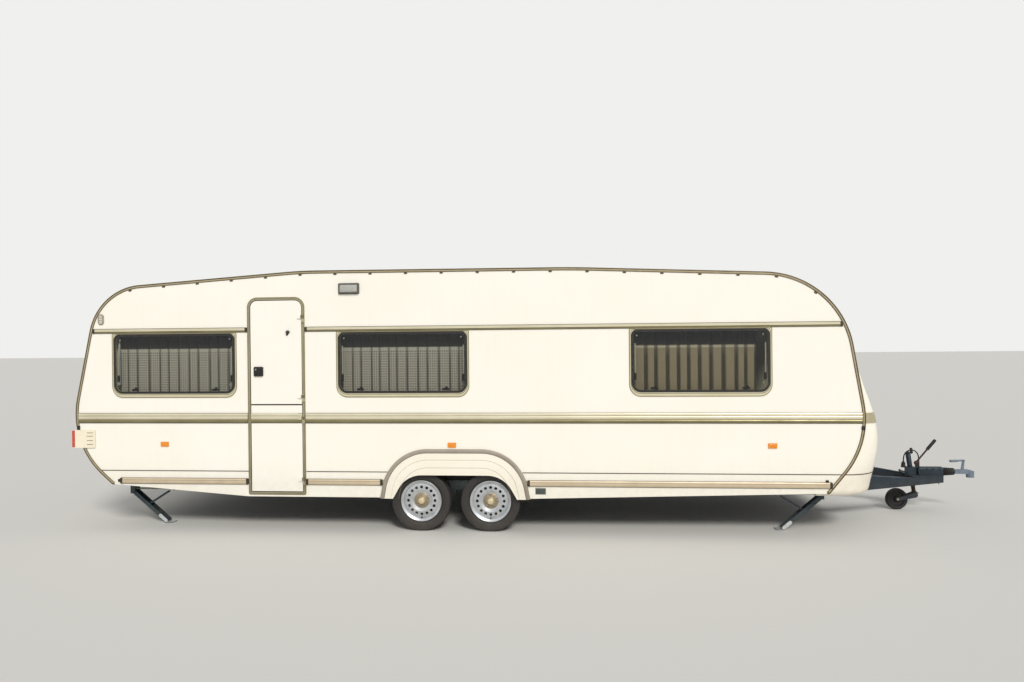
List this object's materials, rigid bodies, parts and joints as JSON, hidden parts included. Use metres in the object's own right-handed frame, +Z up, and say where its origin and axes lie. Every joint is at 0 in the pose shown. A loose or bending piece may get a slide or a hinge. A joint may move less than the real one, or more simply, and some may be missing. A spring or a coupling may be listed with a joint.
{
  "type": "travel caravan",
  "caption": "Long twin-axle touring caravan with a stable door, tinted side windows, corner steadies, drawbar with ball coupling and jockey wheel.",
  "frame": {"origin": "middle of the whole caravan in plan, on the ground that it is parked on", "axes": "+X towards the tow hitch, -Y the door side, +Z up"},
  "size_m": [9.0402, 2.536, 2.5446],
  "materials": {
    "cream_panel": "smooth cream coated aluminium",
    "cream_moulding": "cream gel coat",
    "floor_board": "dark treated board",
    "tub_plastic": "black moulded",
    "beige_trim": "olive beige lacquered strip",
    "rail_trim": "dark bronze rail",
    "tinted_acrylic": "smoke tinted",
    "white_plastic": "white moulded",
    "curtain_cloth": "pleated net",
    "black_plastic": "black",
    "red_lens": "red and amber lens",
    "amber_lens": "amber lens",
    "grey_plastic": "grey",
    "galvanised": "weathered zinc",
    "wheel_silver": "silver lacquer",
    "tyre": "black",
    "bellows_rubber": "black",
    "hitch_grey": "grey",
    "dark_steel": "dark brown",
    "jockey_rubber": "black"
  },
  "bodies": {
    "body": {"arch_panels": "cream_moulding", "arch_trims": "beige_trim", "awning_lamp": "grey_plastic", "awning_rails": "rail_trim", "axles": "galvanised", "bellows": "bellows_rubber", "chassis_rails": "galvanised", "coupling_head": "hitch_grey", "cross_members": "galvanised", "curtain_rails": "white_plastic", "curtains": "curtain_cloth", "door_frame": "beige_trim", "drawbar": "galvanised", "floor": "floor_board", "fridge_vents": "white_plastic", "front_moulding": "cream_moulding", "front_wall": "cream_panel", "handbrake_lever": "dark_steel", "jockey_mount": "galvanised", "lamp_lenses": "red_lens", "lead": "black_plastic", "lead_plug": "black_plastic", "overrun_housing": "galvanised", "rear_wall": "cream_panel", "roof_panel": "cream_panel", "rooflight_frames": "white_plastic", "side_reflectors": "amber_lens", "side_trims": "beige_trim", "side_wall_left": "cream_panel", "side_wall_right": "cream_panel", "steady_bases": "galvanised", "tail_lamps": "cream_moulding", "wheel_tubs": "tub_plastic", "window_panes": "tinted_acrylic", "window_surrounds": "beige_trim"},
    "wheel_front_right": {"rim_front_right": "wheel_silver", "tyre_front_right": "tyre"},
    "wheel_front_left": {"rim_front_left": "wheel_silver", "tyre_front_left": "tyre"},
    "wheel_rear_right": {"rim_rear_right": "wheel_silver", "tyre_rear_right": "tyre"},
    "wheel_rear_left": {"rim_rear_left": "wheel_silver", "tyre_rear_left": "tyre"},
    "door_leaf_upper": {"door_upper": "cream_panel", "door_handle": "black_plastic"},
    "door_leaf_lower": {"door_lower": "cream_panel"},
    "locker_lid_body": {"locker_lid": "cream_moulding"},
    "rooflight_rear_body": {"rooflight_lid_rear": "white_plastic"},
    "rooflight_front_body": {"rooflight_lid_front": "white_plastic"},
    "steady_front_right": {"steady_leg_front_right": "galvanised"},
    "steady_stay_front_right": {"steady_strut_front_right": "galvanised"},
    "steady_front_left": {"steady_leg_front_left": "galvanised"},
    "steady_stay_front_left": {"steady_strut_front_left": "galvanised"},
    "steady_rear_right": {"steady_leg_rear_right": "galvanised"},
    "steady_stay_rear_right": {"steady_strut_rear_right": "galvanised"},
    "steady_rear_left": {"steady_leg_rear_left": "galvanised"},
    "steady_stay_rear_left": {"steady_strut_rear_left": "galvanised"},
    "jockey_post": {"jockey_inner_tube": "dark_steel"},
    "jockey_castor": {"jockey_fork": "dark_steel"},
    "jockey_roller": {"jockey_wheel": "jockey_rubber"}
  },
  "joints": [
    {"name": "wheel_front_right_spin", "type": "hinge", "parent": "body", "child": "wheel_front_right", "pos_m": [-0.383, -1.1, 0.284], "axis": [0, 1, 0], "continuous": true},
    {"name": "wheel_front_left_spin", "type": "hinge", "parent": "body", "child": "wheel_front_left", "pos_m": [-0.383, 1.1, 0.284], "axis": [0, 1, 0], "continuous": true},
    {"name": "wheel_rear_right_spin", "type": "hinge", "parent": "body", "child": "wheel_rear_right", "pos_m": [-1.047, -1.1, 0.284], "axis": [0, 1, 0], "continuous": true},
    {"name": "wheel_rear_left_spin", "type": "hinge", "parent": "body", "child": "wheel_rear_left", "pos_m": [-1.047, 1.1, 0.284], "axis": [0, 1, 0], "continuous": true},
    {"name": "door_upper_hinge", "type": "hinge", "parent": "body", "child": "door_leaf_upper", "pos_m": [-2.171, -1.262, 1.65], "axis": [0, 0, 1], "range_deg": [0, 165]},
    {"name": "door_lower_hinge", "type": "hinge", "parent": "body", "child": "door_leaf_lower", "pos_m": [-2.171, -1.262, 0.77], "axis": [0, 0, 1], "range_deg": [0, 165]},
    {"name": "locker_lid_hinge", "type": "hinge", "parent": "body", "child": "locker_lid_body", "pos_m": [3.17253, 0, 0.997], "axis": [0, -1, 0], "range_deg": [0, 95]},
    {"name": "rooflight_rear_hinge", "type": "hinge", "parent": "body", "child": "rooflight_rear_body", "pos_m": [-1.636, 0, 2.51028], "axis": [0, -1, 0], "range_deg": [0, 50]},
    {"name": "rooflight_front_hinge", "type": "hinge", "parent": "body", "child": "rooflight_front_body", "pos_m": [1.064, 0, 2.46783], "axis": [0, -1, 0], "range_deg": [0, 50]},
    {"name": "steady_front_right_fold", "type": "hinge", "parent": "body", "child": "steady_front_right", "pos_m": [2.71, -0.95, 0.315], "axis": [0, 1, 0], "range_deg": [0, 40.5]},
    {"name": "steady_stay_front_right_fold", "type": "hinge", "parent": "steady_front_right", "child": "steady_stay_front_right", "pos_m": [2.55565, -0.95, 0.18315], "axis": [0, 1, 0], "range_deg": [-72.6, 0]},
    {"name": "steady_front_left_fold", "type": "hinge", "parent": "body", "child": "steady_front_left", "pos_m": [2.71, 0.95, 0.315], "axis": [0, 1, 0], "range_deg": [0, 40.5]},
    {"name": "steady_stay_front_left_fold", "type": "hinge", "parent": "steady_front_left", "child": "steady_stay_front_left", "pos_m": [2.55565, 0.95, 0.18315], "axis": [0, 1, 0], "range_deg": [-72.6, 0]},
    {"name": "steady_rear_right_fold", "type": "hinge", "parent": "body", "child": "steady_rear_right", "pos_m": [-4.044, -0.95, 0.315], "axis": [0, -1, 0], "range_deg": [0, 40.5]},
    {"name": "steady_stay_rear_right_fold", "type": "hinge", "parent": "steady_rear_right", "child": "steady_stay_rear_right", "pos_m": [-3.88965, -0.95, 0.18315], "axis": [0, -1, 0], "range_deg": [-72.6, 0]},
    {"name": "steady_rear_left_fold", "type": "hinge", "parent": "body", "child": "steady_rear_left", "pos_m": [-4.044, 0.95, 0.315], "axis": [0, -1, 0], "range_deg": [0, 40.5]},
    {"name": "steady_stay_rear_left_fold", "type": "hinge", "parent": "steady_rear_left", "child": "steady_stay_rear_left", "pos_m": [-3.88965, 0.95, 0.18315], "axis": [0, -1, 0], "range_deg": [-72.6, 0]},
    {"name": "jockey_slide", "type": "slide", "parent": "body", "child": "jockey_post", "axis": [-0.1392, 0, 0.9903], "range_m": [-0.2, 0.01]},
    {"name": "jockey_swivel", "type": "hinge", "parent": "jockey_post", "child": "jockey_castor", "pos_m": [3.911, 0, 0.251], "axis": [-0.1392, 0, 0.9903], "continuous": true},
    {"name": "jockey_wheel_spin", "type": "hinge", "parent": "jockey_castor", "child": "jockey_roller", "pos_m": [3.745, 0, 0.11], "axis": [0, 1, 0], "continuous": true}
  ],
  "couplings": [
    {"joint": "steady_stay_front_right_fold", "follows": "steady_front_right_fold", "ratio": -1.7923},
    {"joint": "steady_stay_front_left_fold", "follows": "steady_front_left_fold", "ratio": -1.7923},
    {"joint": "steady_stay_rear_right_fold", "follows": "steady_rear_right_fold", "ratio": -1.7923},
    {"joint": "steady_stay_rear_left_fold", "follows": "steady_rear_left_fold", "ratio": -1.7923}
  ]
}
